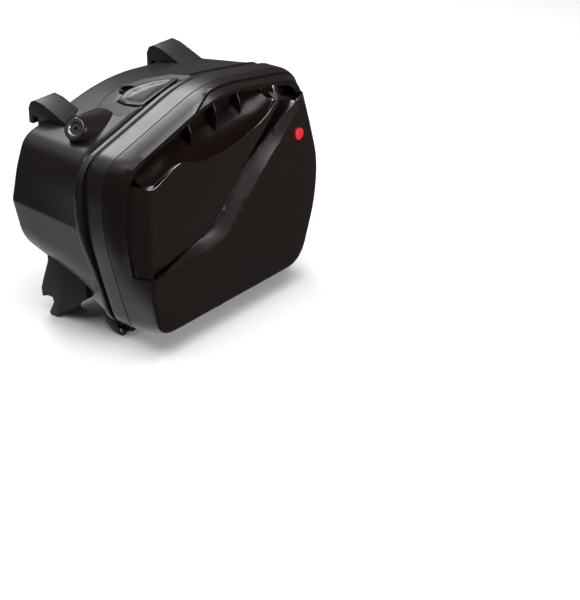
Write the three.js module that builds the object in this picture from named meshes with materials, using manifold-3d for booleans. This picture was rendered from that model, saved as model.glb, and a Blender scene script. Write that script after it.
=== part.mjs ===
// Hard motorcycle side case: a deep inner shell that hooks on the bike, and a bottom-hinged outer lid.
// Millimetres. +X is the front of the bike, +Y points in towards the bike, +Z is up, and Y = 0 is the parting
// plane between shell and lid until the whole group is moved to its own origin at the end.
import * as THREE from "three";
import { mergeVertices } from "three/addons/utils/BufferGeometryUtils.js";
import Module from "manifold-3d";

const wasm = await Module();
wasm.setup();

// ---- driving dimensions ----
const WALL = 3; // moulded wall thickness
const GAP = 0.5; // clearance between neighbouring pieces
const CORNER_STEPS = 3; // facets in each rounded corner of an outline
const SEAM_Y = -38; // where the lid's frame band ends and its outer surround begins
const LID_RIM_Y = -3;
const LIP_Y = 5; // outer edge of the shell's lip
const NECK_Y = 24; // the shell's wall starts behind its lip
const BACK_Y = 187; // the shell's flat back
const FACE_EDGE_Y = -118; // the lid face at its outline
const FACE_CROWN_Y = -128; // the lid face at its middle
const BAND_EDGE_Y = -78; // where the lid's outer band stops above the scoop
const BAND_NARROW_Y = -57; // the same, forward of the peak
const HOOK_POST_Y = 191; // back face of the top hooks' posts
const HOOK_REACH_Y = 212; // how far the top hooks reach towards the bike
const RIBS_X = [-76, -14, 48, 110];
const CLAW_X = [-206, -150];
const HINGE = { y: 1, z: 9, pin: 3.5, nose: 7.5 };
const PIVOT = { rear: new THREE.Vector3(-86, 27, 374), front: new THREE.Vector3(8, 27, 392) };
const HOOK_PIN = { y: 17, z: 371 };
const FLOOR_Z = 350; // underside of the latch well
const LOCK = {
  face: new THREE.Vector3(-197, 70, 363),
  lean: 28,
  swing: 10,
  length: 42,
  radius: 21,
  root: 72, // how deep the boss's cone starts, inside the shell, where it is cut off
  flare: 17, // how much wider the cone is at its root
};

// Outline corners as [x, z, cut]: cut is how far back along each side the rounding of that corner starts.
// They run rear bottom, up the rear end, over the top and down the front end.
const RIM = [
  [-196, 18, 40],
  [-224, 110, 30],
  [-252, 212, 34],
  [-254, 298, 34],
  [-235, 340, 24],
  [0, 411, 60],
  [218, 377, 34],
  [247, 298, 38],
  [254, 220, 38],
  [247, 150, 38],
  [205, 18, 42],
];
const FACE = [
  [-212, 46, 34],
  [-225, 110, 20],
  [-226, 212, 30],
  [-226, 290, 26],
  [-212, 330, 22],
  [-4, 400, 75],
  [164, 352, 26],
  [184, 290, 34],
  [204, 226, 36],
  [198, 150, 36],
  [156, 44, 38],
];
const BACK = [
  [-140, 60, 30],
  [-228, 150, 26],
  [-244, 222, 8],
  [-228, 275, 12],
  [-206, 326, 22],
  [-3, 372, 75],
  [206, 350, 26],
  [250, 262, 22],
  [184, 196, 38],
  [176, 120, 34],
  [170, 60, 34],
];

// The lid face is split by a crease that runs from the front top down to the rear.
const CREASE = [
  [158, 352],
  [-6, 273],
  [-88, 192],
  [-214, 156],
];
// The scoop's lower lip, from the rear end to the front.
const SCOOP_LIP = [
  [-226, 330],
  [-160, 332],
  [-100, 322],
  [-20, 332],
  [64, 349],
  [112, 372],
];

// ---- outlines ----
const mix = (a, b, t) => a.map((v, i) => v + (b[i] - v) * t);
const mixOutline = (a, b, t) => a.map((corner, i) => mix(corner, b[i], t));

// The outline moved inwards by d, corner by corner.
function inset(corners, d) {
  const n = corners.length;
  return corners.map(([x, z, cut], i) => {
    const [px, pz] = corners[(i + n - 1) % n];
    const [qx, qz] = corners[(i + 1) % n];
    const a = new THREE.Vector2(x - px, z - pz).normalize();
    const b = new THREE.Vector2(qx - x, qz - z).normalize();
    const sum = new THREE.Vector2(a.y + b.y, -a.x - b.x); // both inward normals of a clockwise outline
    const k = d / (1 + a.dot(b));
    return [x + sum.x * k, z + sum.y * k, Math.max(4, cut - d * 0.4)];
  });
}

// Rounded outline as [x, z] points, with a fixed count so that two outlines can be joined point to point.
function rounded(corners, steps = CORNER_STEPS) {
  const n = corners.length;
  const points = [];
  corners.forEach(([x, z, cut], i) => {
    const c = new THREE.Vector2(x, z);
    const before = new THREE.Vector2(...corners[(i + n - 1) % n]);
    const after = new THREE.Vector2(...corners[(i + 1) % n]);
    const start = c.clone().lerp(before, Math.min(0.45, cut / c.distanceTo(before)));
    const end = c.clone().lerp(after, Math.min(0.45, cut / c.distanceTo(after)));
    const bend = new THREE.QuadraticBezierCurve(start, c, end);
    points.push(...bend.getPoints(steps).map((p) => [p.x, p.y]));
  });
  return points;
}

// A ring of 3-D points from an outline; depth is a number or a function of x and z.
const ring = (outline, depth) =>
  outline.map(([x, z]) => [x, typeof depth === "function" ? depth(x, z) : depth, z]);

// ---- solids ----
function signedVolume(position, index) {
  const p = (i) => new THREE.Vector3().fromBufferAttribute(position, index[i]);
  let six = 0;
  for (let i = 0; i < index.length; i += 3) six += p(i).dot(p(i + 1).cross(p(i + 2)));
  return six / 6;
}

function geometryOf(points, index) {
  const geometry = new THREE.BufferGeometry();
  geometry.setAttribute("position", new THREE.Float32BufferAttribute(points.flat(), 3));
  if (signedVolume(geometry.attributes.position, index) < 0) index.reverse();
  geometry.setIndex(index);
  return geometry;
}

// A skin over rings of equal point count: capped at both ends, or closed on itself when loop is true.
function skin(rings, { loop = false } = {}) {
  const n = rings[0].length;
  const index = [];
  const spans = loop ? rings.length : rings.length - 1;
  for (let r = 0; r < spans; r++) {
    const a = r * n;
    const b = ((r + 1) % rings.length) * n;
    for (let i = 0; i < n; i++) {
      const j = (i + 1) % n;
      index.push(a + i, a + j, b + j, a + i, b + j, b + i);
    }
  }
  if (!loop) {
    const cap = (r, turn) => {
      const flat = rings[r].map(([x, , z]) => new THREE.Vector2(x, z));
      const clockwise = THREE.ShapeUtils.isClockWise(flat);
      for (const [p, q, s] of THREE.ShapeUtils.triangulateShape(flat, [])) {
        const face = clockwise === turn ? [p, q, s] : [p, s, q];
        index.push(...face.map((k) => r * n + k));
      }
    };
    const first = rings[0].map(([x, , z]) => new THREE.Vector2(x, z));
    const turn = THREE.ShapeUtils.isClockWise(first);
    cap(0, turn);
    const last = rings[rings.length - 1].map(([x, , z]) => new THREE.Vector2(x, z));
    cap(rings.length - 1, THREE.ShapeUtils.isClockWise(last) !== turn ? turn : !turn);
  }
  return geometryOf(rings.flat(), index);
}

// A profile of [a, b] points drawn in a plane and pushed along the axis normal to it, from lo to hi.
function prism(profile, axis, lo, hi) {
  const shape = new THREE.Shape(profile.map(([a, b]) => new THREE.Vector2(a, b)));
  const g = new THREE.ExtrudeGeometry(shape, { depth: hi - lo, bevelEnabled: false, curveSegments: 6 });
  g.translate(0, 0, axis === "y" ? -hi : lo);
  if (axis === "x") g.applyMatrix4(new THREE.Matrix4().set(0, 0, 1, 0, 1, 0, 0, 0, 0, 1, 0, 0, 0, 0, 0, 1));
  if (axis === "y") g.applyMatrix4(new THREE.Matrix4().set(1, 0, 0, 0, 0, 0, -1, 0, 0, 1, 0, 0, 0, 0, 0, 1));
  return g;
}

const box = (x0, x1, y0, y1, z0, z1) =>
  new THREE.BoxGeometry(x1 - x0, y1 - y0, z1 - z0).translate((x0 + x1) / 2, (y0 + y1) / 2, (z0 + z1) / 2);

// A cylinder or cone between two points.
function rod(from, to, r0, r1 = r0, sides = 16) {
  const axis = to.clone().sub(from);
  const g = new THREE.CylinderGeometry(r1, r0, axis.length(), sides);
  g.applyQuaternion(new THREE.Quaternion().setFromUnitVectors(new THREE.Vector3(0, 1, 0), axis.normalize()));
  const mid = from.clone().add(to).multiplyScalar(0.5);
  return g.translate(mid.x, mid.y, mid.z);
}

function solid(geometry) {
  const bare = new THREE.BufferGeometry();
  bare.setAttribute("position", geometry.getAttribute("position").clone());
  if (geometry.index) bare.setIndex(geometry.index.clone());
  const merged = mergeVertices(bare, 1e-4);
  const made = new wasm.Manifold(
    new wasm.Mesh({
      numProp: 3,
      vertProperties: merged.attributes.position.array,
      triVerts: new Uint32Array(merged.index.array),
    }),
  );
  return made;
}

function geometryFrom(manifold) {
  const mesh = manifold.getMesh();
  const geometry = new THREE.BufferGeometry();
  geometry.setAttribute("position", new THREE.BufferAttribute(mesh.vertProperties, 3));
  geometry.setIndex(new THREE.BufferAttribute(mesh.triVerts, 1));
  return geometry;
}

const cut = (geometry, ...tools) =>
  geometryFrom(tools.reduce((left, tool) => left.subtract(solid(tool)), solid(geometry)));
const join = (...pieces) =>
  geometryFrom(pieces.map(solid).reduce((left, right) => left.add(right)));
const common = (a, b) => geometryFrom(solid(a).intersect(solid(b)));

// ---- materials ----
const finish = (name, color, roughness, metalness) =>
  new THREE.MeshStandardMaterial({ name, color, roughness, metalness });
const SATIN = finish("satin_plastic", 0x2b2829, 0.42, 0);
const GLOSS = finish("cover_plastic", 0x161213, 0.2, 0);
const MATTE = finish("bracket_plastic", 0x2a2425, 0.6, 0);
const RUBBER = finish("rubber", 0x111111, 0.85, 0);
const STEEL = finish("steel", 0x8e9094, 0.35, 1);
const ZINC = finish("lock_metal", 0x6d7076, 0.3, 1);
const RED = finish("badge_red", 0xc4161c, 0.3, 0);

const root = new THREE.Group();
function add(name, geometry, material) {
  const mesh = new THREE.Mesh(geometry, material);
  mesh.name = name;
  root.add(mesh);
  return mesh;
}

// ---- inner shell ----
// The lip stands out furthest along the rear end, and sinks below the lid's band over the top.
const LIP = inset(RIM, 0).map(([x, z, c]) => [x < -250 ? x - 9 : x, z > 330 ? z - 5 : z, c]);
const NECK = inset(RIM, 6);
const shellOutline = (y, d = 0) => rounded(inset(mixOutline(NECK, BACK, (y - NECK_Y) / (BACK_Y - NECK_Y)), d));

function innerShell() {
  return skin([
    ring(shellOutline(BACK_Y, 20), BACK_Y),
    ring(shellOutline(BACK_Y - 3, 8), BACK_Y - 3),
    ring(shellOutline(BACK_Y - 12, 1), BACK_Y - 12),
    ring(shellOutline(100), 100),
    ring(shellOutline(NECK_Y), NECK_Y),
    ring(rounded(inset(RIM, -1)), NECK_Y - 6),
    ring(rounded(LIP), NECK_Y - 9),
    ring(rounded(LIP), LIP_Y),
    ring(rounded(inset(RIM, 13)), LIP_Y),
    ring(shellOutline(NECK_Y, WALL + 4), NECK_Y + 3),
    ring(shellOutline(100, WALL), 100),
    ring(shellOutline(BACK_Y - 12, WALL + 3), BACK_Y - 14),
    ring(shellOutline(BACK_Y - WALL, 22), BACK_Y - WALL),
  ]);
}

// Height of the shell's top surface at x, y.
function topZ(x, y) {
  const outline = shellOutline(Math.max(y, NECK_Y));
  let best = 0;
  outline.forEach(([ax, az], i) => {
    const [bx, bz] = outline[(i + 1) % outline.length];
    if ((ax - x) * (bx - x) <= 0 && ax !== bx) best = Math.max(best, az + ((bz - az) * (x - ax)) / (bx - ax));
  });
  return best;
}

// ---- latch well and lever in the shell's top ----
const BEZEL = [
  [-84, 16],
  [-120, 43],
  [-108, 108],
  [-72, 120],
  [-34, 120],
  [0, 98],
  [29, 64],
  [29, 16],
];
const LEVER = [
  [-86, 24.5],
  [-87, 62],
  [-80, 86],
  [-52, 95],
  [-22, 84],
  [-2, 60],
  [7, 36],
  [7, 24.5],
];
const POCKET = [[-87.2, 19.2], ...LEVER.slice(1, -1).map(([x, y]) => [x < -40 ? x - 1 : x + 1, y + 1]), [8.2, 19.2]];
const BEZEL_MIDDLE = [-40, 56];
const NOTCH = { x: -40, y: 98, radius: 13 }; // room for fingertips under the lever's inner edge

// A plan outline moved away from the middle of the bezel.
const grow = (outline, d) =>
  outline.map(([x, y]) => [x + Math.sign(x - BEZEL_MIDDLE[0]) * d, y + Math.sign(y - BEZEL_MIDDLE[1]) * d]);

// A plate under the shell's top surface: plan outline, top face `over` the surface, underside `under` it.
function topPlate(outline, over, under) {
  const rows = 4;
  const columns = 12;
  const xs = outline.map((p) => p[0]);
  const ys = outline.map((p) => p[1]);
  const [x0, x1] = [Math.min(...xs) - 1, Math.max(...xs) + 1];
  const [y0, y1] = [Math.min(...ys) - 1, Math.max(...ys) + 1];
  const sheet = (lift) => {
    const points = [];
    for (let i = 0; i <= columns; i++)
      for (let j = 0; j <= rows; j++) {
        const x = x0 + ((x1 - x0) * i) / columns;
        const y = y0 + ((y1 - y0) * j) / rows;
        points.push([x, y, topZ(x, y) + lift]);
      }
    return points;
  };
  const count = (columns + 1) * (rows + 1);
  const at = (layer, i, j) => layer * count + i * (rows + 1) + j;
  const index = [];
  for (let i = 0; i < columns; i++)
    for (let j = 0; j < rows; j++) {
      const [a, b, c, d] = [at(1, i, j), at(1, i + 1, j), at(1, i + 1, j + 1), at(1, i, j + 1)];
      index.push(a, b, c, a, c, d);
      index.push(a - count, c - count, b - count, a - count, d - count, c - count);
    }
  const edge = [];
  for (let i = 0; i < columns; i++) edge.push([i, 0]);
  for (let j = 0; j < rows; j++) edge.push([columns, j]);
  for (let i = columns; i > 0; i--) edge.push([i, rows]);
  for (let j = rows; j > 0; j--) edge.push([0, j]);
  edge.forEach(([i, j], k) => {
    const [p, q] = edge[(k + 1) % edge.length];
    index.push(at(0, i, j), at(0, p, q), at(1, p, q), at(0, i, j), at(1, p, q), at(1, i, j));
  });
  return common(geometryOf([...sheet(-under), ...sheet(over)], index), prism(outline, "z", FLOOR_Z, 500));
}

// A round bar along the lever's pivot line between two values of x.
function pivotBar(x0, x1, radius) {
  const at = (x) => PIVOT.rear.clone().lerp(PIVOT.front, (x - PIVOT.rear.x) / (PIVOT.front.x - PIVOT.rear.x));
  return rod(at(x0), at(x1), radius, radius, 14);
}
const hookBar = (x0, x1, r) =>
  rod(new THREE.Vector3(x0, HOOK_PIN.y, HOOK_PIN.z), new THREE.Vector3(x1, HOOK_PIN.y, HOOK_PIN.z), r);
const hookEar = (x) => box(x, x + 4, HOOK_PIN.y - 6, 18, HOOK_PIN.z - 6, HOOK_PIN.z + 6);
const notch = (radius, z0) =>
  rod(new THREE.Vector3(NOTCH.x, NOTCH.y, z0), new THREE.Vector3(NOTCH.x, NOTCH.y, 500), radius, radius, 24);

// The well is a thin bezel flush with the shell and a deep cup under the lever.
const cup = common(
  join(prism(grow(POCKET, 6), "z", FLOOR_Z, 500), notch(NOTCH.radius + 3, FLOOR_Z)),
  topPlate(BEZEL, 0, 90),
);
const latchWell = cut(
  join(topPlate(BEZEL, 0, 4), cup, hookEar(-46), hookEar(-16)),
  prism(POCKET, "z", FLOOR_Z + 3, 500),
  notch(NOTCH.radius, FLOOR_Z + 3),
  pivotBar(-93, 15, 2.7),
  hookBar(-47, -11, 2.4),
  box(-40, -18, 15, 20, 362, 384),
);
add("latch_well", latchWell, MATTE);
add("latch_pin", pivotBar(-92, 14, 2.2), STEEL);

const leverEars = [-84, 0].map((x) =>
  join(pivotBar(x, x + 6, 5), common(box(x, x + 6, 25, 32, 350, 420), topPlate(LEVER, 0, 9))),
);
add("latch_lever", cut(join(topPlate(LEVER, 0, 4.5), ...leverEars), pivotBar(-97, 20, 2.7)), SATIN);

const hookProfile = [
  [HOOK_PIN.y + 5, HOOK_PIN.z - 3],
  [HOOK_PIN.y + 5, HOOK_PIN.z + 6],
  [-19, HOOK_PIN.z + 6],
  [-21, HOOK_PIN.z - 6],
  [-15, HOOK_PIN.z - 6],
  [-14, HOOK_PIN.z],
  [HOOK_PIN.y - 5, HOOK_PIN.z - 3],
];
add("latch_hook", cut(prism(hookProfile, "x", -38, -20), hookBar(-50, 0, 2.4)), STEEL);
add("latch_hook_pin", hookBar(-46, -12, 2), STEEL);

// ---- lock ----
const lean = THREE.MathUtils.degToRad(LOCK.lean);
const swing = THREE.MathUtils.degToRad(LOCK.swing);
const level = Math.cos(lean);
const lockAxis = new THREE.Vector3(-level * Math.cos(swing), -level * Math.sin(swing), Math.sin(lean));
const along = (d) => LOCK.face.clone().addScaledVector(lockAxis, d);
const lockTurn = new THREE.Quaternion().setFromUnitVectors(new THREE.Vector3(0, 0, 1), lockAxis);
const lockRod = (d0, d1, r0, r1 = r0) => rod(along(d0), along(d1), r0, r1, 24);
const shellBody = skin([ring(shellOutline(BACK_Y, -GAP), BACK_Y), ring(shellOutline(NECK_Y - 4, -GAP), NECK_Y - 4)]);
const boss = cut(lockRod(-LOCK.root, 0, LOCK.radius + LOCK.flare, LOCK.radius), lockRod(-90, 1, 14.2), shellBody);
const shell = cut(innerShell(), prism(grow(BEZEL, GAP), "z", 300, 440), lockRod(-90, 8, 14.2));
add("lock_boss", boss, SATIN);
add("lock_sleeve", cut(lockRod(-LOCK.length - 12, -2, 13.6), lockRod(-90, 0, 9.4)), ZINC);
const keyway = box(-1.2, 1.2, -4.5, 4.5, -3, 3).applyQuaternion(lockTurn).translate(...along(-6).toArray());
add("lock_barrel", cut(lockRod(-LOCK.length - 14, -6, 9), keyway), ZINC);
const arm = box(-13, 0, -4, 4, -2, 2).applyQuaternion(lockTurn).translate(...along(-LOCK.length - 16.5).toArray());
add("lock_cam", join(lockRod(-LOCK.length - 18.5, -LOCK.length - 14.5, 8), arm), STEEL);

// ---- gasket ----
const sealRing = (d, y) => ring(rounded(inset(RIM, d)), y);
const sealRings = [
  sealRing(5, LIP_Y - GAP),
  sealRing(5, LID_RIM_Y + GAP),
  sealRing(10, LID_RIM_Y + GAP),
  sealRing(10, LIP_Y - GAP),
];
add("lid_seal", skin(sealRings, { loop: true }), RUBBER);

// ---- brackets on the shell ----
const shellClear = skin([
  ring(shellOutline(BACK_Y, 20 - GAP), BACK_Y + GAP),
  ring(shellOutline(BACK_Y - 3, 8 - GAP), BACK_Y - 3 + GAP),
  ring(shellOutline(BACK_Y - 12, 1 - GAP), BACK_Y - 12),
  ring(shellOutline(100, -GAP), 100),
  ring(shellOutline(NECK_Y, -GAP), NECK_Y),
  ring(rounded(inset(RIM, -1 - GAP)), NECK_Y - 6 + GAP),
  ring(rounded(inset(LIP, -GAP)), NECK_Y - 9 + GAP),
  ring(rounded(inset(LIP, -GAP)), LIP_Y - GAP),
]);

// Each top hook has a foot on the shell's shoulder and a nose that drops behind the bike's rail.
function topHook(x0, x1) {
  const z = topZ((x0 + x1) / 2, 150);
  const profile = [
    [120, z - 30],
    [120, z - 1],
    [176, z + 22],
    [196, z + 25],
    [HOOK_REACH_Y - 6, z + 20],
    [HOOK_REACH_Y, z + 8],
    [HOOK_REACH_Y, z - 18],
    [HOOK_REACH_Y - 10, z - 18],
    [HOOK_REACH_Y - 10, z - 4],
    [HOOK_POST_Y, z - 4],
    [HOOK_POST_Y, z - 50],
    [BACK_Y - 10, z - 60],
  ];
  return cut(prism(profile, "x", x0, x1), shellClear);
}
const HOOKS = { rear: [-164, -116], front: [130, 182] };

// Pan-head screws that hold the brackets to the shell's back, as [x, z, y of the head's seat].
const SCREWS = {
  hook_screw_rear: [-140, 306, HOOK_POST_Y],
  hook_screw_front: [156, 318, HOOK_POST_Y],
};
const screwBar = ([x, z, y], y0, y1, r) => rod(new THREE.Vector3(x, y + y0, z), new THREE.Vector3(x, y + y1, z), r);
const screwHoles = Object.values(SCREWS).map((screw) => screwBar(screw, -40, 20, 2.8));
for (const [name, screw] of Object.entries(SCREWS)) {
  const head = screwBar(screw, 0.3, 3.5, 5.5);
  const socket = screwBar(screw, 1.8, 5, 2);
  add(name, cut(join(head, screwBar(screw, -18, 1, 2.4)), socket), STEEL);
}
add("inner_shell", cut(shell, ...screwHoles), SATIN);
for (const [end, [x0, x1]] of Object.entries(HOOKS))
  add(`top_hook_${end}`, cut(topHook(x0, x1), ...screwHoles), MATTE);

const clawProfile = [
  [58, 130],
  [58, 58],
  [84, 40],
  [112, 26],
  [122, 14],
  [132, 0],
  [148, 0],
  [150, 5],
  [138, 28],
  [141, 36],
  [152, 36],
  [165, 31],
  [167, 46],
  [156, 78],
  [146, 104],
  [146, 130],
];
add("lower_claw", cut(prism(clawProfile, "x", ...CLAW_X), shellClear), MATTE);

// ---- hinges under the lip: each bracket has two fins, which are also the case's feet ----
const hingeBar = (x0, x1, r) =>
  rod(new THREE.Vector3(x0, HINGE.y, HINGE.z), new THREE.Vector3(x1, HINGE.y, HINGE.z), r);
const finProfile = [
  [HINGE.y - 6, HINGE.z + 3],
  [HINGE.y - 7, HINGE.z - 3],
  [HINGE.y - 4, 0],
  [HINGE.y + 8, 0],
  [20, 5],
  [36, 14],
  [36, 36],
  [24, 36],
  [HINGE.y + 6, 24],
  [HINGE.y + 6, HINGE.z + 3],
];
const HINGES = { rear: [-186, -72], front: [72, 186] };
for (const [end, [x0, x1]] of Object.entries(HINGES)) {
  const fins = [x0, x1 - 7].map((x) => prism(finProfile, "x", x, x + 7));
  const bridge = box(x0 + 3, x1 - 3, 25, 35, 11, 18);
  const bracket = cut(join(...fins, bridge), hingeBar(x0 - 1, x1 + 1, HINGE.pin + 0.3), shellClear);
  add(`hinge_bracket_${end}`, bracket, MATTE);
  add(`hinge_pin_${end}`, hingeBar(x0 + 1, x1 - 1, HINGE.pin), STEEL);
}

// ---- lid ----
const FACE_CENTRE = [10, 210];
const shrink = (outline, k) => outline.map(([x, z]) => mix(FACE_CENTRE, [x, z], k));

// The lid as a body, d inside its outer surface: straight sides, rounded edge and a slightly crowned face.
function lidBody(d, open = SEAM_Y - GAP) {
  const side = (t, k) => rounded(inset(mixOutline(RIM, FACE, t), k + d));
  const edge = side(1, 9);
  return skin([
    ring(side(0, 0), open),
    ring(side(0, 0), SEAM_Y - 2),
    ring(side(0.3, 0), -76),
    ring(side(0.8, 0), -104),
    ring(side(1, 3), FACE_EDGE_Y + 4 + d / 2),
    ring(edge, FACE_EDGE_Y + d),
    ring(shrink(edge, 0.6), FACE_CROWN_Y + 3 + d),
    ring(shrink(edge, 0.2), FACE_CROWN_Y + d),
  ]);
}
const lidWall = () => cut(lidBody(0), lidBody(WALL, SEAM_Y + 10));

const bandRings = [
  ring(rounded(RIM), LID_RIM_Y),
  ring(rounded(RIM), SEAM_Y),
  ring(rounded(inset(RIM, 12)), SEAM_Y),
  ring(rounded(inset(RIM, 12)), LID_RIM_Y),
];
const strikerSlot = box(-46, -12, -24, 0, 355, 398);
const knuckles = Object.values(HINGES).map(([x0, x1]) =>
  join(
    hingeBar(x0 + 8, x1 - 8, HINGE.nose),
    box(x0 + 8, x1 - 8, HINGE.y - 18, HINGE.y - 4, HINGE.z + 1, 24),
  ),
);
const bores = Object.values(HINGES).map(([x0, x1]) => hingeBar(x0, x1, HINGE.pin + 0.3));
const bottomLip = skin([ring(rounded(inset(LIP, -2)), NECK_Y), ring(rounded(inset(LIP, -2)), LID_RIM_Y + 1)]);
const frame = cut(join(skin(bandRings, { loop: true }), ...knuckles.map((k) => cut(k, bottomLip))), ...bores);
add("lid_frame", cut(frame, strikerSlot), SATIN);
const strikerEnd = (x) => new THREE.Vector3(x, -11, HOOK_PIN.z - 4);
add("lid_striker", rod(strikerEnd(-46), strikerEnd(-12), 2.6), STEEL);

// Everything above the crease is cut out of the lid shell outside the band, right through its rear end and top.
const OPENING = [
  ...CREASE.slice().reverse(),
  [236, 334],
  [300, 330],
  [300, 460],
  [-320, 460],
  [-320, 156],
];
// Forward of the peak the band is narrower, so the opening reaches further in.
const STEP = [
  [-75, BAND_EDGE_Y - 1],
  [-10, BAND_NARROW_Y],
  [300, BAND_NARROW_Y],
  [300, -200],
  [-75, -200],
];
const openingBody = join(
  prism(OPENING, "y", -200, BAND_EDGE_Y),
  common(prism(OPENING, "y", -200, BAND_NARROW_Y), prism(STEP, "z", 320, 460)),
);
const lidShell = cut(lidWall(), openingBody);
add("lid_shell", lidShell, SATIN);

// The pan behind the opening closes the lid and carries the scoop's upright ribs.
const PAN_Y = -48;
const lowered = (d) => OPENING.map(([x, z]) => [x, z - d]);
const panBody = common(lidBody(WALL + GAP), prism(lowered(7), "y", -112, PAN_Y));
const hollow = common(
  skin([
    ring(rounded(inset(FACE, 6)), -200),
    ring(rounded(inset(FACE, 6)), -110),
    ring(rounded(inset(RIM, 9)), PAN_Y - 2.5),
  ]),
  prism(lowered(4), "y", -201, PAN_Y),
);
const ribProfile = [
  [PAN_Y - 2, 326],
  [PAN_Y - 22, 330],
  [PAN_Y - 26, 350],
  [PAN_Y - 16, 420],
  [PAN_Y - 2, 420],
];
const ribs = RIBS_X.map((x) => common(prism(ribProfile, "x", x, x + 2.5), lidBody(WALL + GAP)));
// Above the cover's lip the pan stays behind the lid's band.
const ABOVE_LIP = [[-320, 300], ...SCOOP_LIP, [160, 345], [300, 300], [300, 460], [-320, 460]];
const trim = prism(ABOVE_LIP, "y", -200, BAND_EDGE_Y + 1);
const pan = join(cut(panBody, hollow, trim), ...ribs);
add("scoop_pan", pan, GLOSS);

const UPPER = [
  [-320, 168],
  [-212, 166],
  [-92, 199],
  [-12, 279],
  [140, 352],
  ...SCOOP_LIP.slice().reverse(),
  [-320, 326],
];
const cover = common(lidWall(), prism(UPPER, "y", -200, -86));
add("upper_cover", cover, GLOSS);

const badgeBar = rod(new THREE.Vector3(142, -100, 294), new THREE.Vector3(142, -150, 294), 11, 11, 24);
add("badge", cut(common(badgeBar, lidBody(-2.4)), lidBody(-0.4)), RED);

// ---- origin: middle of the footprint, on the ground ----
const bounds = new THREE.Box3().setFromObject(root);
const shift = bounds.getCenter(new THREE.Vector3()).setZ(bounds.min.z).negate();
for (const mesh of root.children) mesh.geometry.translate(shift.x, shift.y, shift.z);

export default root;
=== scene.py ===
"""A hard motorcycle side case: a deep satin shell that hooks on the bike, and a bottom-hinged lid with a
glossy cover, a scoop, a lever latch and a key lock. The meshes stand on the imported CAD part's frame."""

import math

import bmesh
import bpy
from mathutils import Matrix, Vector


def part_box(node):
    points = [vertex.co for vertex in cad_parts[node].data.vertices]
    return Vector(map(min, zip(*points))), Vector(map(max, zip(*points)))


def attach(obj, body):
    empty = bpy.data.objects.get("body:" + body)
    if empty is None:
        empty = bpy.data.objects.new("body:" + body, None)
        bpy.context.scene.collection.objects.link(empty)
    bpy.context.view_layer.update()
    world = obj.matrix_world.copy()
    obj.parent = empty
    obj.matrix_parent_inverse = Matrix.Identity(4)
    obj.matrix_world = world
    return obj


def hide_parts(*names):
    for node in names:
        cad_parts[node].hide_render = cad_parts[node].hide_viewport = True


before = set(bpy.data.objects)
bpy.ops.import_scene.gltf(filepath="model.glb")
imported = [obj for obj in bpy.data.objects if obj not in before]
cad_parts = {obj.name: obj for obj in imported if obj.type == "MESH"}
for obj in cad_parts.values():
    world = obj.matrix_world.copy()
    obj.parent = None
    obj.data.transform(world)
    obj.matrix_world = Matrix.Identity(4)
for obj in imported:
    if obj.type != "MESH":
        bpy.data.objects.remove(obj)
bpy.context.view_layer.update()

# ---- frame: drawing sizes below are in millimetres from the parting plane, as in the CAD part ----
MM = 0.001
PIN_MIDDLE = Vector((-129, 1, 9))  # the rear hinge pin's middle in drawing millimetres


def middle(node):
    low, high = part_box(node)
    return (low + high) / 2


SHIFT = middle("hinge_pin_rear") - PIN_MIDDLE * MM


def place(x, y, z):
    return Vector((x, y, z)) * MM + SHIFT


# ---- driving dimensions ----
SEAM_Y = -38
LID_RIM_Y = -3
LIP_Y = 5
NECK_Y = 24
BACK_Y = 187
BAND_EDGE_Y = -78  # where the lid's outer band stops above the scoop
BAND_NARROW_Y = -57  # the same, forward of the peak
FACE_EDGE_Y = -118
FACE_CROWN_Y = -128
PAN_Y = -48
HINGES = {"rear": (-186, -72), "front": (72, 186)}
RIBS_X = (-76, -14, 48, 110)
HINGE_Y, HINGE_Z = 1, 9
LOCK_FACE = Vector((-197, 70, 363))
LOCK_LEAN = math.radians(28)
LOCK_SWING = math.radians(10)
CORNER_STEPS = 14
SIDE_STEPS = 10

# Outline corners as (x, z, length of rounding along each side), from the rear bottom round over the top.
RIM = [
    (-196, 18, 40),
    (-224, 110, 30),
    (-252, 212, 34),
    (-254, 298, 34),
    (-235, 340, 24),
    (0, 411, 60),
    (218, 377, 34),
    (247, 298, 38),
    (254, 220, 38),
    (247, 150, 38),
    (205, 18, 42),
]
FACE = [
    (-212, 46, 34),
    (-225, 110, 20),
    (-226, 212, 30),
    (-226, 290, 26),
    (-212, 330, 22),
    (-4, 400, 75),
    (164, 352, 26),
    (184, 290, 34),
    (204, 226, 36),
    (198, 150, 36),
    (156, 44, 38),
]
BACK = [
    (-140, 60, 30),
    (-228, 150, 26),
    (-244, 222, 8),
    (-228, 275, 12),
    (-206, 326, 22),
    (-3, 372, 75),
    (206, 350, 26),
    (250, 262, 22),
    (184, 196, 38),
    (176, 120, 34),
    (170, 60, 34),
]
# (x, z, length of rounding) along the crease that splits the lid's face, from the rear end to the front top.
CREASE = [
    (-330, 124, 4),
    (-214, 156, 10),
    (-88, 191, 16),
    (-6, 273, 16),
    (158, 352, 10),
    (170, 347, 6),
    (300, 318, 4),
]
# The same along the lower edge of the chamfer under the crease.
CHAMFER = [
    (-330, 124, 4),
    (-227, 158, 10),
    (-58, 169, 16),
    (12, 239, 16),
    (157, 347, 10),
    (170, 343, 6),
    (300, 314, 4),
]
# (x, z) along the scoop's lower lip.
SCOOP_LIP = [
    (-330, 300),
    (-221, 311),
    (-155, 336),
    (-108, 325),
    (-28, 329),
    (61, 346),
    (106, 372),
    (140, 390),
]
FACE_CENTRE = Vector((10, 210))


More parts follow.
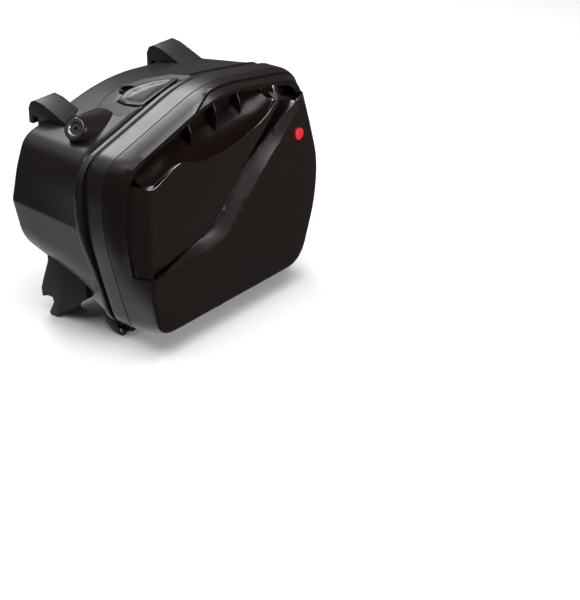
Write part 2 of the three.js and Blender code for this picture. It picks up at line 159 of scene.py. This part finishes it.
# ---- outlines ----
def inset(corners, d):
    """The outline moved inwards by d millimetres, corner by corner."""
    moved = []
    for i, (x, z, cut) in enumerate(corners):
        before, after = corners[i - 1], corners[(i + 1) % len(corners)]
        a = Vector((x - before[0], z - before[1])).normalized()
        b = Vector((after[0] - x, after[1] - z)).normalized()
        k = d / (1 + a.dot(b))
        moved.append((x + (a.y + b.y) * k, z - (a.x + b.x) * k, max(4, cut - d * 0.4)))
    return moved


def mix(a, b, t):
    return [tuple(p + (q - p) * t for p, q in zip(u, v)) for u, v in zip(a, b)]


def rounded(corners, sharp=()):
    """Outline points with the same count for every outline, so that any two can be joined point to point."""
    n = len(corners)
    arcs = []
    for i, (x, z, cut) in enumerate(corners):
        c = Vector((x, z))
        before, after = Vector(corners[i - 1][:2]), Vector(corners[(i + 1) % n][:2])
        cut = 3 if i in sharp else cut
        start = c.lerp(before, min(0.45, cut / (before - c).length))
        end = c.lerp(after, min(0.45, cut / (after - c).length))
        ts = [k / CORNER_STEPS for k in range(CORNER_STEPS + 1)]
        arcs.append([start * (1 - t) ** 2 + c * 2 * t * (1 - t) + end * t * t for t in ts])
    points = []
    for i, arc in enumerate(arcs):
        points += arc
        following = arcs[(i + 1) % n][0]
        points += [arc[-1].lerp(following, k / SIDE_STEPS) for k in range(1, SIDE_STEPS)]
    return points


def ring(outline, y):
    return [place(p.x, y, p.y) for p in outline]


def shrink(outline, k):
    return [FACE_CENTRE.lerp(p, k) for p in outline]


def smooth_line(points, steps=8):
    """A Catmull-Rom line through the points, as 2-D vectors."""
    pts = [Vector(p) for p in points]
    pts = [pts[0] * 2 - pts[1], *pts, pts[-1] * 2 - pts[-2]]
    line = []
    for a, b, c, d in zip(pts, pts[1:], pts[2:], pts[3:]):
        for k in range(steps):
            t = k / steps
            square = (a * 2 - b * 5 + c * 4 - d) * t * t
            cube = (b * 3 - a - c * 3 + d) * t**3
            line.append((b * 2 + (c - a) * t + square + cube) / 2)
    return [*line, pts[-2]]


# ---- meshes ----
def make(name, vertices, faces):
    mesh = bpy.data.meshes.new(name)
    mesh.from_pydata([tuple(v) for v in vertices], [], faces)
    bm = bmesh.new()
    bm.from_mesh(mesh)
    bmesh.ops.remove_doubles(bm, verts=bm.verts, dist=1e-6)
    bmesh.ops.recalc_face_normals(bm, faces=bm.faces)
    bm.to_mesh(mesh)
    bm.free()
    piece = bpy.data.objects.new(name, mesh)
    bpy.context.scene.collection.objects.link(piece)
    return piece


def loft(name, rings, loop=False):
    """A skin over rings of equal point count, capped at both ends or closed on itself."""
    n = len(rings[0])
    faces = []
    for r in range(len(rings) if loop else len(rings) - 1):
        a, b = r * n, ((r + 1) % len(rings)) * n
        faces += [(a + i, a + (i + 1) % n, b + (i + 1) % n, b + i) for i in range(n)]
    if not loop:
        faces += [tuple(range(n)), tuple(range((len(rings) - 1) * n, len(rings) * n))]
    return make(name, [v for r in rings for v in r], faces)


def prism(name, outline, axis, low, high):
    """An outline pushed along one axis: its pairs are (y, z) for x, (x, z) for y and (x, y) for z."""
    order = {
        "x": lambda p, d: (d, p[0], p[1]),
        "y": lambda p, d: (p[0], d, p[1]),
        "z": lambda p, d: (p[0], p[1], d),
    }
    rings = [[place(*order[axis](p, d)) for p in outline] for d in (low, high)]
    return loft(name, rings)


def apply_modifiers(piece):
    graph = bpy.context.evaluated_depsgraph_get()
    mesh = bpy.data.meshes.new_from_object(piece.evaluated_get(graph))
    piece.modifiers.clear()
    piece.data = mesh


def boolean(piece, operation, *tools):
    for tool in tools:
        modifier = piece.modifiers.new("cut", "BOOLEAN")
        modifier.operation = operation
        modifier.solver = "EXACT"
        modifier.object = tool
        apply_modifiers(piece)
        bpy.data.objects.remove(tool)
    return piece


def cut(piece, *tools):
    return boolean(piece, "DIFFERENCE", *tools)


def bevel(piece, width, angle=35, segments=3):
    """Rounds the piece's sharp edges by width millimetres."""
    modifier = piece.modifiers.new("round", "BEVEL")
    modifier.width = width * MM
    modifier.segments = segments
    modifier.limit_method = "ANGLE"
    modifier.angle_limit = math.radians(angle)
    modifier.harden_normals = False
    apply_modifiers(piece)
    return piece


def shade(piece, angle=30):
    """Smooth shading, with edges sharper than angle left hard."""
    bm = bmesh.new()
    bm.from_mesh(piece.data)
    for face in bm.faces:
        face.smooth = True
    limit = math.radians(angle)
    for edge in bm.edges:
        edge.smooth = len(edge.link_faces) != 2 or edge.calc_face_angle(0) < limit
    bm.to_mesh(piece.data)
    bm.free()
    return piece


def finish_piece(piece, material, slot, body, *nodes, angle=30):
    """Shades the piece, gives it its material, and hangs it on the body of the nodes that it stands for."""
    shade(piece, angle)
    piece.data.materials.clear()
    piece.data.materials.append(material)
    if nodes:
        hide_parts(*nodes)
    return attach(piece, body)


# ---- materials ----
def plastic(name, color, roughness, specular, grain, grain_size, wear=0.12, coat=0.0):
    """Moulded plastic: a fine grain, and soft patches where it is a little duller from handling."""
    material = bpy.data.materials.new(name)
    material.use_nodes = True
    nodes, links = material.node_tree.nodes, material.node_tree.links
    shader = nodes["Principled BSDF"]
    shader.inputs["Base Color"].default_value = (*color, 1)
    shader.inputs["Specular IOR Level"].default_value = specular
    shader.inputs["Coat Weight"].default_value = coat
    shader.inputs["Coat Roughness"].default_value = 0.08
    where = nodes.new("ShaderNodeTexCoord")
    patches = nodes.new("ShaderNodeTexNoise")
    patches.inputs["Scale"].default_value = 14
    patches.inputs["Detail"].default_value = 6
    links.new(where.outputs["Object"], patches.inputs["Vector"])
    dull = nodes.new("ShaderNodeMapRange")
    dull.inputs["From Min"].default_value = 0.3
    dull.inputs["From Max"].default_value = 0.75
    dull.inputs["To Min"].default_value = roughness * (1 - wear)
    dull.inputs["To Max"].default_value = roughness * (1 + wear)
    links.new(patches.outputs["Fac"], dull.inputs["Value"])
    links.new(dull.outputs["Result"], shader.inputs["Roughness"])
    fine = nodes.new("ShaderNodeTexNoise")
    fine.inputs["Scale"].default_value = 1 / grain_size
    fine.inputs["Detail"].default_value = 3
    links.new(where.outputs["Object"], fine.inputs["Vector"])
    bump = nodes.new("ShaderNodeBump")
    bump.inputs["Strength"].default_value = grain
    bump.inputs["Distance"].default_value = 0.0002
    links.new(fine.outputs["Fac"], bump.inputs["Height"])
    links.new(bump.outputs["Normal"], shader.inputs["Normal"])
    return material


def metal(name, color, roughness):
    """Plated steel with fine turning marks and slight staining."""
    material = plastic(name, color, roughness, 0.5, 0.25, 0.0012, wear=0.3)
    material.node_tree.nodes["Principled BSDF"].inputs["Metallic"].default_value = 1
    return material


SATIN = plastic("satin_plastic", (0.0095, 0.0066, 0.0062), 0.34, 0.34, 0.18, 0.0009)
LID_SATIN = plastic("lid_plastic", (0.0075, 0.0045, 0.0038), 0.3, 0.25, 0.1, 0.0009)
GLOSS = plastic("cover_plastic", (0.0075, 0.0045, 0.0038), 0.2, 0.35, 0.03, 0.003)
BRACKET = plastic("bracket_plastic", (0.014, 0.0115, 0.0115), 0.45, 0.3, 0.45, 0.0012)
RUBBER = plastic("seal_rubber", (0.008, 0.008, 0.008), 0.8, 0.2, 0.4, 0.001)
STEEL = metal("zinc_steel", (0.42, 0.43, 0.45), 0.35)
DARK_METAL = metal("lock_metal", (0.24, 0.25, 0.27), 0.32)
RED = plastic("badge_red", (0.5, 0.008, 0.012), 0.25, 0.5, 0.05, 0.002, coat=0.6)

# ---- inner shell ----
LIP = [(x - 9 if x < -250 else x, z - 5 if z > 330 else z, c) for x, z, c in RIM]
NECK = inset(RIM, 6)
CREASED = (2,)  # the shell's rear end has a crease below this corner, where it starts to taper


def shell_outline(y, d=0.0):
    t = (y - NECK_Y) / (BACK_Y - NECK_Y)
    return rounded(inset(mix(NECK, BACK, t), d), sharp=CREASED)


def fillet_rings(outline_at, y, radius, direction, steps=5):
    """Rings that turn an outline's edge over at y. direction is 1 or -1: the way along Y the solid ends."""
    rings = []
    for k in range(steps + 1):
        angle = math.radians(90) * k / steps
        depth = y + direction * radius * (math.sin(angle) - 1)
        rings.append(ring(outline_at(radius * (1 - math.cos(angle))), depth))
    return rings


def make_shell():
    lip = lambda d: rounded(inset(LIP, d))
    outer = [
        *reversed(fillet_rings(lambda d: shell_outline(BACK_Y - 10, d), BACK_Y, 12, 1, 6)),
        ring(shell_outline(140), 140),
        ring(shell_outline(100), 100),
        ring(shell_outline(60), 60),
        ring(shell_outline(34), 34),
        ring(rounded(inset(RIM, 6)), NECK_Y),
        ring(rounded(inset(RIM, 3.5)), NECK_Y - 4),
        ring(lip(2), NECK_Y - 6.5),
        ring(lip(0.6), NECK_Y - 8),
        ring(lip(0), NECK_Y - 10),
        ring(lip(0), LIP_Y + 2),
        ring(lip(0.6), LIP_Y + 0.6),
        ring(lip(2), LIP_Y),
    ]
    inner = [
        ring(rounded(inset(RIM, 13)), LIP_Y),
        ring(shell_outline(NECK_Y + 3, 7), NECK_Y + 3),
        ring(shell_outline(100, 3), 100),
        ring(shell_outline(BACK_Y - 12, 6), BACK_Y - 14),
        ring(shell_outline(BACK_Y - 3, 22), BACK_Y - 3),
    ]
    return loft("shell", outer + inner)


def top_z(x, y):
    """Height of the shell's top surface over a point in plan."""
    outline = shell_outline(max(y, NECK_Y))
    best = 0
    for a, b in zip(outline, outline[1:] + outline[:1]):
        if (a.x - x) * (b.x - x) <= 0 and a.x != b.x:
            best = max(best, a.y + (b.y - a.y) * (x - a.x) / (b.x - a.x))
    return best


BEZEL = [(-84, 16), (-120, 43), (-108, 108), (-72, 120), (-34, 120), (0, 98), (29, 64), (29, 16)]
LEVER = [(-86, 24.5), (-87, 62), (-80, 86), (-52, 95), (-22, 84), (-2, 60), (7, 36), (7, 24.5)]
NOTCH = (-40, 98, 13)
BEZEL_MIDDLE = (-40, 56)


def grow(outline, d):
    mx, my = BEZEL_MIDDLE
    return [(x + math.copysign(d, x - mx), y + math.copysign(d, y - my)) for x, y in outline]


def soften(outline, radius, steps=5):
    """A plan outline with its corners rounded."""
    points = []
    for i, p in enumerate(outline):
        c = Vector(p)
        before, after = Vector(outline[i - 1]), Vector(outline[(i + 1) % len(outline)])
        start = c.lerp(before, min(0.45, radius / (before - c).length))
        end = c.lerp(after, min(0.45, radius / (after - c).length))
        for k in range(steps + 1):
            t = k / steps
            points.append(start * (1 - t) ** 2 + c * 2 * t * (1 - t) + end * t * t)
    return points


def centre_shrink(outline, d):
    """Each point of a convex outline moved d millimetres towards the outline's middle."""
    centre = sum(outline, Vector((0, 0))) / len(outline)
    return [p + (centre - p).normalized() * d for p in outline]


def top_plate(name, outline, profile, floor):
    """A plate that follows the shell's top. profile is (inset, height over it) pairs, from edge to middle."""
    rings = [[place(p.x, p.y, top_z(p.x, p.y) + floor) for p in outline]]
    for d, lift in profile:
        rings.append([place(p.x, p.y, top_z(p.x, p.y) + lift) for p in centre_shrink(outline, d)])
    return loft(name, rings)


AXIS_RADIUS = 0.02  # stands for zero where a turned profile meets its axis


def unit_circle(sides):
    return [Vector((math.cos(a), math.sin(a), 0)) for a in (2 * math.pi * k / sides for k in range(sides))]


def cylinder(name, start, end, r0, r1=None, sides=48):
    """A cylinder or cone between two drawing points."""
    r1 = r0 if r1 is None else r1
    turn = (end - start).to_track_quat("Z", "Y")
    rings = []
    for centre, r in ((start, r0), (end, r1)):
        circle = [p * r for p in unit_circle(sides)]
        rings.append([place(*(centre + turn @ p)) for p in circle])
    return loft(name, rings)


def turned(name, start, direction, profile, sides=64):
    """A solid of revolution about a line: profile is (distance along, radius) pairs, its ends on the axis."""
    turn = direction.to_track_quat("Z", "Y")
    rings = []
    for d, r in profile:
        centre = start + direction * d
        circle = [p * max(r, AXIS_RADIUS) for p in unit_circle(sides)]
        rings.append([place(*(centre + turn @ p)) for p in circle])
    return loft(name, rings)


level = math.cos(LOCK_LEAN)
lock_axis = Vector((-level * math.cos(LOCK_SWING), -level * math.sin(LOCK_SWING), math.sin(LOCK_LEAN)))
lock_at = lambda d: LOCK_FACE + lock_axis * d

shell = make_shell()
cut(shell, prism("tool", soften(grow(BEZEL, 0.4), 4), "z", 300, 440))
cut(shell, cylinder("tool", lock_at(-90), lock_at(8), 14.2))
finish_piece(shell, SATIN, "satin_plastic", "case", "inner_shell")

# ---- latch ----
bezel_outline = soften(BEZEL, 4)
bezel = top_plate("latch_bezel", bezel_outline, [(0, -0.8), (0.8, 0)], -4)
POCKET_Y = 18.8  # the pocket's edge next to the lip, with room for the lever's heel to swing down
pocket = [(x - 1.3 if x < -40 else x + 1.3, y + 1.3) for x, y in LEVER[1:-1]]
pocket = [(-88.3, POCKET_Y), *pocket, (8.3, POCKET_Y)]
cup = [(x - 3 if x < -40 else x + 3, y + 3) for x, y in pocket[1:-1]]
cup = [(-91.3, 16.2), *cup, (11.3, 16.2)]
cup_outline = soften(pocket, 3)
boolean(bezel, "UNION", top_plate("tool", soften(cup, 4), [(0, -1.5)], -24))
notch_cup = cylinder("tool", Vector((*NOTCH[:2], 358)), Vector((*NOTCH[:2], 378)), NOTCH[2] + 3)
boolean(bezel, "UNION", notch_cup)
cut(bezel, top_plate("tool", cup_outline, [(0, 12)], -21))
cut(bezel, cylinder("tool", Vector((NOTCH[0], NOTCH[1], 361)), Vector((NOTCH[0], NOTCH[1], 460)), NOTCH[2]))
finish_piece(bezel, SATIN, "bracket_plastic", "case", "latch_well")

lever_outline = soften(LEVER, 6)
lever_section = [(0, -1.2), (1.2, 0.6), (9, 1.2), (14, -0.5), (20, -2.4), (34, -3)]
lever = top_plate("lever", lever_outline, lever_section, -4.5)
finish_piece(lever, SATIN, "satin_plastic", "lever", "latch_lever", angle=40)

# ---- lock ----
boss_section = [
    (-72, 14.4),
    (-72, 44),
    (-46, 35),
    (-34, 30),
    (-24, 26.2),
    (-12, 23.2),
    (-4, 21.6),
    (-1.2, 20.8),
    (-0.4, 20.2),
    (-1, 14.4),
    (-72, 14.4),
]
boss = turned("lock_boss", LOCK_FACE, lock_axis, boss_section)
wall_depth = 1.2  # how far the boss's root reaches into the shell's wall
wall_ys = (NECK_Y - 4, NECK_Y, 60, 100, 140, BACK_Y)
cut(boss, loft("tool", [ring(shell_outline(y, wall_depth), y) for y in wall_ys]))
finish_piece(boss, SATIN, "satin_plastic", "case", "lock_boss")
sleeve_section = [
    (-54, 9.4),
    (-54, 13.6),
    (-1.4, 13.6),
    (-0.6, 13.8),
    (0.6, 17.2),
    (1, 16.8),
    (0.9, 12.6),
    (0, 11.2),
    (-3, 9.6),
    (-54, 9.4),
]
sleeve = turned("lock_sleeve", LOCK_FACE, lock_axis, sleeve_section)
finish_piece(sleeve, DARK_METAL, "lock_metal", "case", "lock_sleeve")
barrel = turned("lock_barrel", LOCK_FACE, lock_axis, [(-56, 0), (-56, 9), (-3.6, 9), (-3, 8.4), (-3, 0)])
keyway = turned("tool", LOCK_FACE, lock_axis, [(-12, 0), (-12, 3.4), (-1, 3.4), (-1, 0)], sides=24)
cut(barrel, keyway)
finish_piece(barrel, DARK_METAL, "lock_metal", "lock_core", "lock_barrel")

# ---- lid frame: the band next to the parting gap ----
rim = lambda d: rounded(inset(RIM, d))
band = loft(
    "lid_band",
    [
        ring(rim(2.2), LID_RIM_Y),
        ring(rim(0.8), LID_RIM_Y - 0.5),
        ring(rim(0.2), LID_RIM_Y - 1.6),
        ring(rim(0), LID_RIM_Y - 3),
        ring(rim(0), -20),
        ring(rim(0), SEAM_Y + 0.9),
        ring(rim(0.9), SEAM_Y),
        ring(rim(12), SEAM_Y),
        ring(rim(12), LID_RIM_Y),
    ],
    loop=True,
)
for x0, x1 in HINGES.values():
    knuckle = cylinder("tool", Vector((x0 + 8, HINGE_Y, HINGE_Z)), Vector((x1 - 8, HINGE_Y, HINGE_Z)), 7.5)
    web = prism("tool", [(-17, 10), (-17, 24), (-3, 24), (-3, 10)], "x", x0 + 8, x1 - 8)
    boolean(band, "UNION", web)
    boolean(band, "UNION", knuckle)
    cut(band, cylinder("tool", Vector((x0, HINGE_Y, HINGE_Z)), Vector((x1, HINGE_Y, HINGE_Z)), 3.8))
finish_piece(band, SATIN, "satin_plastic", "lid", "lid_frame")


# ---- lid body ----
CROWN_STEPS = (0.96, 0.92, 0.88, 0.83, 0.78, *[0.72 - 0.06 * k for k in range(12)])


def lid_outline(t, d):
    return rounded(inset(mix(RIM, FACE, t), d))


def lid_rings(d=0.0, start=SEAM_Y - 0.5):
    """The lid, d millimetres inside its outer surface: tapering sides, a tight edge and a low crown."""
    rings = [ring(lid_outline(0, d + 0.9), start), ring(lid_outline(0, d), start - 0.9)]
    if start > SEAM_Y - 3:
        rings.append(ring(lid_outline(0, d), SEAM_Y - 2.01))
    for y, t in ((-50, 0.05), (-64, 0.16), (-78, 0.32), (-92, 0.56), (-104, 0.8)):
        if y < start - 2:
            rings.append(ring(lid_outline(t, d), y))
    for k in range(7):
        angle = math.radians(90) * k / 6
        turned_in = 6 * (1 - math.cos(angle))
        depth = FACE_EDGE_Y + 6 + d * 0.8 - 6 * math.sin(angle)
        rings.append(ring(lid_outline(0.9 + 0.1 * k / 6, d + turned_in), depth))
    edge = lid_outline(1, d + 6)
    for k in CROWN_STEPS:
        rings.append(ring(shrink(edge, k), FACE_CROWN_Y + (FACE_EDGE_Y - FACE_CROWN_Y) * k**2.4 + d))
    return rings


def bent(corners):
    """An open line through the corners with each bend rounded."""
    line = [Vector(corners[0][:2])]
    for (ax, az, _), (x, z, cut), (bx, bz, _) in zip(corners, corners[1:], corners[2:]):
        c = Vector((x, z))
        start = c + (Vector((ax, az)) - c).normalized() * cut
        end = c + (Vector((bx, bz)) - c).normalized() * cut
        line += [start * (1 - t) ** 2 + c * 2 * t * (1 - t) + end * t * t for t in (k / 6 for k in range(7))]
    return [*line, Vector(corners[-1][:2])]


def offset_from(line, x, z):
    """Signed distance in millimetres above a line of 2-D points."""
    best, above = 1e9, 1.0
    for a, b in zip(line, line[1:]):
        side = b - a
        t = max(0.0, min(1.0, ((x - a.x) * side.x + (z - a.y) * side.y) / side.length_squared))
        p = a + side * t
        distance = math.hypot(x - p.x, z - p.y)
        if distance < best:
            best, above = distance, side.x * (z - a.y) - side.y * (x - a.x)
    return math.copysign(best, above)


crease, chamfer = bent(CREASE), bent(CHAMFER)
opening = [*reversed(crease), (-330, 470), (300, 470)]
CHAMFER_DEPTH = 12


def split_along(piece, line, y_from=-200, y_to=-90):
    """Adds edges to the piece's face along a line drawn on it."""
    bm = bmesh.new()
    bm.from_mesh(piece.data)
    for a, b in zip(line, line[1:]):
        side = b - a
        normal = Vector((-side.y, 0, side.x))
        near = []
        for face in bm.faces:
            c = (face.calc_center_median() - SHIFT) / MM
            if y_from < c.y < y_to:
                t = ((c.x - a.x) * side.x + (c.z - a.y) * side.y) / side.length_squared
                if -0.6 < t < 1.6 and abs(offset_from([a, b], c.x, c.z)) < 14:
                    near.append(face)
        parts = near + list({e for f in near for e in f.edges}) + list({v for f in near for v in f.verts})
        bmesh.ops.bisect_plane(bm, geom=parts, plane_co=place(a.x, 0, a.y), plane_no=normal, dist=1e-6)
    bm.to_mesh(piece.data)
    bm.free()
    return piece


def chamfer_face(piece, depth):
    """Sinks the strip between the chamfer's lower edge and the crease into the lid, deepest at the crease."""
    for vertex in piece.data.vertices:
        p = (vertex.co - SHIFT) / MM
        if p.y > BAND_EDGE_Y - 2:
            continue
        above_lower = offset_from(chamfer, p.x, p.z)
        if above_lower <= 0:
            continue
        below_crease = max(0.0, -offset_from(crease, p.x, p.z))
        share = above_lower / (above_lower + below_crease)
        across = above_lower + below_crease
        vertex.co.y += depth * share * min(1, across / 14) * MM
    return piece


lid_shell = loft("lid_shell", [*reversed(lid_rings()), *lid_rings(3)])
split_along(lid_shell, chamfer)
chamfer_face(lid_shell, CHAMFER_DEPTH)
cut(lid_shell, prism("tool", opening, "y", -200, BAND_EDGE_Y))
step_plan = [
    (-75, BAND_EDGE_Y - 1),
    (-10, BAND_NARROW_Y),
    (300, BAND_NARROW_Y),
    (300, -200),
    (-75, -200),
]
front_step = prism("tool", step_plan, "z", 320, 470)
boolean(front_step, "INTERSECT", prism("tool", opening, "y", -201, BAND_NARROW_Y + 1))
cut(lid_shell, front_step)
finish_piece(bevel(lid_shell, 0.7, 40, 2), LID_SATIN, "satin_plastic", "lid", "lid_shell")

# ---- scoop pan with its ribs ----
pan = loft("scoop_pan", lid_rings(3.4, PAN_Y))
lowered = lambda d: [(p[0], p[1] - d) for p in opening]
boolean(pan, "INTERSECT", prism("tool", lowered(7), "y", -112, PAN_Y + 1))
hollow = loft(
    "tool",
    [ring(rounded(inset(FACE, 6)), -220), ring(rounded(inset(FACE, 6)), -110), ring(rim(9), PAN_Y - 2.5)],
)
boolean(hollow, "INTERSECT", prism("tool", lowered(4), "y", -221, PAN_Y))
cut(pan, hollow)
above_lip = [(-330, 300), *SCOOP_LIP[1:-1], (160, 345), (300, 300), (300, 470), (-330, 470)]
cut(pan, prism("tool", above_lip, "y", -200, BAND_EDGE_Y + 1))
finish_piece(pan, GLOSS, "cover_plastic", "lid", "scoop_pan")

for number, x in enumerate(RIBS_X, 1):
    top = 406 - abs(x) * (0.32 if x < 0 else 0.17)
    profile = [
        (PAN_Y - 2, 316),
        (PAN_Y - 22, 322),
        (PAN_Y - 26, top - 36),
        (PAN_Y - 16, top - 9),
        (PAN_Y - 2, top - 6),
    ]
    rib = prism(f"scoop_rib_{number}", [tuple(p) for p in soften(profile, 8)], "x", x, x + 2.5)
    finish_piece(bevel(rib, 0.6), GLOSS, "cover_plastic", "lid")

# ---- upper cover ----
lip = smooth_line(SCOOP_LIP)
SINK = 9  # how far the cover lies behind the lid's face along the crease


def lip_height(x):
    for a, b in zip(lip, lip[1:]):
        if a.x <= x <= b.x:
            return a.y + (b.y - a.y) * (x - a.x) / (b.x - a.x)
    return lip[-1].y


cover_base = [(p.x, p.y + 4.5) for p in crease if p.x < 140]
cover_outline = [*cover_base, *[(p.x, p.y) for p in reversed(lip)]]
cover = loft("upper_cover", [*reversed(lid_rings(0.6)), *lid_rings(3.4)])
for vertex in cover.data.vertices:
    p = (vertex.co - SHIFT) / MM
    if p.y < -96:
        near = max(0.0, 1 - max(0.0, offset_from(crease, p.x, p.z)) / 70)
        vertex.co.y += SINK * near * near * (3 - 2 * near) * MM
boolean(cover, "INTERSECT", prism("tool", cover_outline, "y", -200, -86))
finish_piece(bevel(cover, 0.8, 50, 3), GLOSS, "cover_plastic", "lid", "upper_cover")


# ---- scoop floor: a hollow shelf from the cover's lip back to the pan ----
def shelf_point(x, s, drop):
    """A point of the shelf at x, s from 0 at the lip to 1 at the pan, drop millimetres under its surface."""
    z0 = lip_height(x)
    front_y = FACE_EDGE_Y + 4 + 10 * max(0.0, (x - 20) / 90) + 8 * max(0.0, (-150 - x) / 60)
    back_y = PAN_Y - 4
    rise = 16 + 8 * max(0.0, (x + 100) / 200)
    bow = 4 * s * (1 - s) * 5
    return place(x, front_y + (back_y - front_y) * s, z0 - 2 + rise * s * s - bow - drop)


columns = [-212 + 6 * k for k in range(53)]
steps = [k / 10 for k in range(11)]
shelf_rings = []
for x in columns:
    top_side = [shelf_point(x, s, 0) for s in steps]
    under_side = [shelf_point(x, s, 2.4) for s in reversed(steps)]
    shelf_rings.append(top_side + under_side)
shelf = loft("scoop_floor", shelf_rings)
boolean(shelf, "INTERSECT", loft("tool", lid_rings(1.2, SEAM_Y - 8)))
finish_piece(bevel(shelf, 0.8, 50, 3), GLOSS, "cover_plastic", "lid")

# ---- badge ----
badge = cylinder("badge", Vector((142, -119, 294)), Vector((142, -126.5, 294)), 10.5)
finish_piece(bevel(badge, 0.8), RED, "badge_red", "lid", "badge")

# ---- brackets: the CAD solids with rounded edges ----
for node in ("top_hook_rear", "top_hook_front", "lower_claw", "hinge_bracket_rear", "hinge_bracket_front"):
    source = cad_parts[node]
    piece = bpy.data.objects.new(f"{node}_piece", source.data.copy())
    bpy.context.scene.collection.objects.link(piece)
    bm = bmesh.new()
    bm.from_mesh(piece.data)
    bmesh.ops.remove_doubles(bm, verts=bm.verts, dist=1e-5)
    bmesh.ops.dissolve_limit(bm, angle_limit=math.radians(2), verts=bm.verts, edges=bm.edges)
    bm.to_mesh(piece.data)
    bm.free()
    finish_piece(bevel(piece, 1.2, 25), BRACKET, "bracket_plastic", "case", node, angle=25)

# ---- CAD nodes that show as they are ----
CARRIED = {
    "lid_seal": RUBBER,
    "latch_pin": STEEL,
    "latch_hook": STEEL,
    "latch_hook_pin": STEEL,
    "lid_striker": STEEL,
    "hinge_pin_rear": STEEL,
    "hinge_pin_front": STEEL,
    "hook_screw_rear": STEEL,
    "hook_screw_front": STEEL,
    "lock_cam": STEEL,
}
for node, material in CARRIED.items():
    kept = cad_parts[node]
    kept.data.materials.clear()
    kept.data.materials.append(material)
    shade(kept)


# ---- floor, light, camera ----
def make_floor():
    mesh = bpy.data.meshes.new("floor")
    r = 9.0
    mesh.from_pydata([(-r, -r, 0), (r, -r, 0), (r, r, 0), (-r, r, 0)], [], [(0, 1, 2, 3)])
    floor = bpy.data.objects.new("floor", mesh)
    bpy.context.scene.collection.objects.link(floor)
    material = plastic("floor_paper", (0.86, 0.86, 0.86), 0.9, 0.1, 0.05, 0.002)
    mesh.materials.append(material)
    floor.visible_glossy = False


def area_light(name, direction, distance, size, power, target):
    data = bpy.data.lights.new(name, "AREA")
    data.shape = "RECTANGLE"
    data.size, data.size_y = size
    data.energy = power
    lamp = bpy.data.objects.new(name, data)
    lamp.location = target + direction.normalized() * distance
    lamp.rotation_mode = "QUATERNION"
    lamp.rotation_quaternion = (target - lamp.location).to_track_quat("-Z", "Y")
    bpy.context.scene.collection.objects.link(lamp)


def make_world(dark, bright):
    """A studio that is dark in front of the lid, and bright high up and low down behind the case."""
    world = bpy.data.worlds.new("studio")
    bpy.context.scene.world = world
    world.use_nodes = True
    nodes, links = world.node_tree.nodes, world.node_tree.links
    background = nodes["Background"]
    background.inputs["Color"].default_value = (1, 1, 1, 1)
    where = nodes.new("ShaderNodeTexCoord")
    split = nodes.new("ShaderNodeSeparateXYZ")
    ramp = nodes.new("ShaderNodeMapRange")
    ramp.interpolation_type = "SMOOTHSTEP"
    ramp.inputs["From Min"].default_value = 0.2
    ramp.inputs["From Max"].default_value = 0.5
    ramp.inputs["To Min"].default_value = dark
    ramp.inputs["To Max"].default_value = bright
    links.new(where.outputs["Generated"], split.inputs["Vector"])
    steep = nodes.new("ShaderNodeMath")
    steep.operation = "ABSOLUTE"
    links.new(split.outputs["Z"], steep.inputs[0])
    behind = nodes.new("ShaderNodeMath")
    behind.operation = "MULTIPLY"
    links.new(split.outputs["Y"], behind.inputs[0])
    links.new(steep.outputs["Value"], behind.inputs[1])
    links.new(behind.outputs["Value"], ramp.inputs["Value"])
    links.new(ramp.outputs["Result"], background.inputs["Strength"])


VIEW_AZIMUTH, VIEW_ELEVATION = math.radians(-48), math.radians(23.8)
VIEW_DISTANCE = 3.0
SENSOR = 36
LENS = 104.49
AIM_ASIDE, AIM_ABOVE = -0.058283, 0.067643  # slopes to the right and up from the aim to the case's middle


def make_camera(target):
    a, e = VIEW_AZIMUTH, VIEW_ELEVATION
    back = Vector((math.sin(a) * math.cos(e), -math.cos(a) * math.cos(e), math.sin(e)))
    right = Vector((math.cos(a), math.sin(a), 0))
    up = back.cross(right)
    data = bpy.data.cameras.new("camera")
    data.sensor_width = SENSOR
    data.lens = LENS
    camera = bpy.data.objects.new("camera", data)
    camera.location = target + back * VIEW_DISTANCE
    forward = -back - right * AIM_ASIDE - up * AIM_ABOVE
    camera.rotation_mode = "QUATERNION"
    camera.rotation_quaternion = forward.to_track_quat("-Z", "Y")
    bpy.context.scene.collection.objects.link(camera)
    bpy.context.scene.camera = camera


make_floor()
make_world(0.1, 1.0)
middle_point = place(0, 12, 210)
area_light("softbox", Vector((0.33, 0.61, 0.71)), 2.4, (1.1, 0.7), 30, middle_point)
area_light("overhead", Vector((-0.3, -0.3, 1.6)), 3.2, (3.2, 3.2), 130, middle_point)
area_light("strip", Vector((0.05, -0.92, 0.25)), 2.4, (1.2, 0.5), 50, middle_point)
make_camera(middle_point)
bpy.context.scene.view_settings.view_transform = "Standard"
